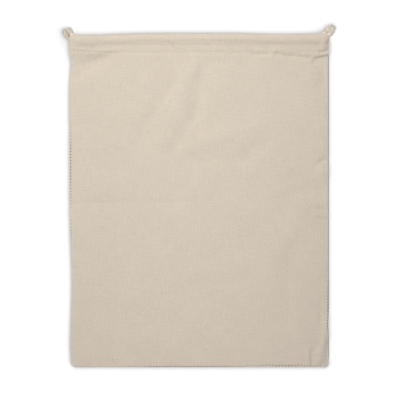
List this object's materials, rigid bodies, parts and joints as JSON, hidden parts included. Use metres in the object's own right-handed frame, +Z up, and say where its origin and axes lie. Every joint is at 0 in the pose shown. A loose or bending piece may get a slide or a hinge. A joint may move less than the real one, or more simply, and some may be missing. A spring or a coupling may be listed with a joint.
{
  "type": "cotton food bag",
  "caption": "Flat rectangular cotton bag, sewn at the sides and bottom, with a stitched drawcord casing along its mouth and short twisted cord ends at the top corners.",
  "frame": {"origin": "on the resting surface, under the middle of the flat bag without its cords", "axes": "+Y towards the bag's mouth, +X to the right with the mouth at the top, +Z up out of the front cloth"},
  "size_m": [0.3157, 0.3963, 0.0111],
  "materials": {
    "natural_cotton": "unbleached plain weave, matt",
    "cotton_cord": "three-ply twisted cotton, matt"
  },
  "bodies": {
    "root": {"front_panel": "natural_cotton", "back_panel": "natural_cotton", "drawcord_front": "cotton_cord", "drawcord_back": "cotton_cord"}
  },
  "joints": []
}
